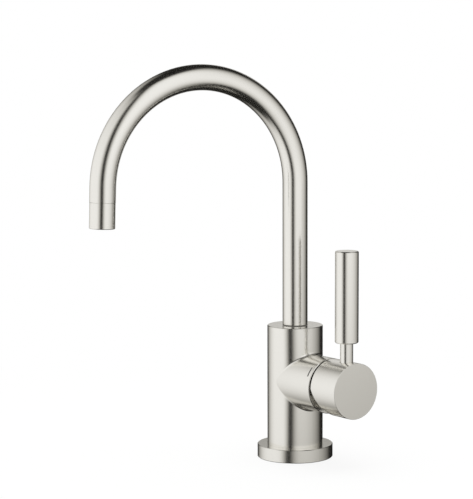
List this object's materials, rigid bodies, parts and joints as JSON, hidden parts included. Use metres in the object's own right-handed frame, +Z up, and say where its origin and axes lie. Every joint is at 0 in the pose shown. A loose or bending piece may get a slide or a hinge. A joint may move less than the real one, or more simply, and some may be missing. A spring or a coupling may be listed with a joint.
{
  "type": "basin mixer tap",
  "caption": "Deck-mounted basin mixer with a round upright body, a swivelling gooseneck spout, a side cartridge stub and an upright pin lever.",
  "frame": {"origin": "on the axis of the upright body, in the plane of the deck that the tap stands on", "axes": "+Z up along the body's axis; the cartridge stub and the lever lie towards +X; the spout reaches towards -Y, swung 8 degrees towards -X at rest"},
  "size_m": [0.0987, 0.1878, 0.2861],
  "materials": {
    "satin_nickel": "brushed satin, warm grey",
    "dark_trim": "matt",
    "seal_rubber": "matt",
    "white_acetal": "moulded",
    "blue_acetal": "moulded",
    "raw_brass": "machined",
    "plain_steel": "machined",
    "disc_ceramic": "lapped ceramic"
  },
  "bodies": {
    "tap_body": {"base_flange": "satin_nickel", "base_gasket": "seal_rubber", "body_shell": "satin_nickel", "index_mark": "dark_trim", "slide_ring": "dark_trim", "spout_bush": "white_acetal", "keeper_screw": "plain_steel", "port_seals": "seal_rubber", "cartridge_base": "blue_acetal", "cartridge_housing": "white_acetal", "fixed_disc": "disc_ceramic", "cartridge_nut": "raw_brass", "nut_shroud": "dark_trim"},
    "spout": {"spout_tube": "satin_nickel", "spout_tail": "raw_brass", "tail_seals": "seal_rubber", "aerator_housing": "satin_nickel", "aerator_seal": "seal_rubber", "aerator_insert": "white_acetal", "aerator_screen": "white_acetal"},
    "spindle": {"spindle_carrier": "white_acetal", "pivot_pin": "plain_steel"},
    "mixing_disc": {"moving_disc": "disc_ceramic", "disc_driver": "blue_acetal"},
    "lever": {"lever_stem": "plain_steel", "handle_hub": "satin_nickel", "hub_screw": "plain_steel", "lever_neck": "satin_nickel", "lever_grip": "satin_nickel"}
  },
  "joints": [
    {"name": "spout_swivel", "type": "hinge", "parent": "tap_body", "child": "spout", "pos_m": [0, 0, 0.097], "axis": [0, 0, 1], "continuous": true},
    {"name": "temperature_turn", "type": "hinge", "parent": "tap_body", "child": "spindle", "pos_m": [0.03, 0, 0.0575], "axis": [1, 0, 0], "range_deg": [-45, 45]},
    {"name": "flow_tilt", "type": "hinge", "parent": "spindle", "child": "lever", "pos_m": [0.03, 0, 0.0575], "axis": [0, 1, 0], "range_deg": [0, 20]},
    {"name": "disc_slide", "type": "slide", "parent": "spindle", "child": "mixing_disc", "axis": [0, 0, 1], "range_m": [0, 0.0021]}
  ],
  "couplings": [
    {"joint": "disc_slide", "follows": "flow_tilt", "m_per_rad": 0.005879}
  ]
}
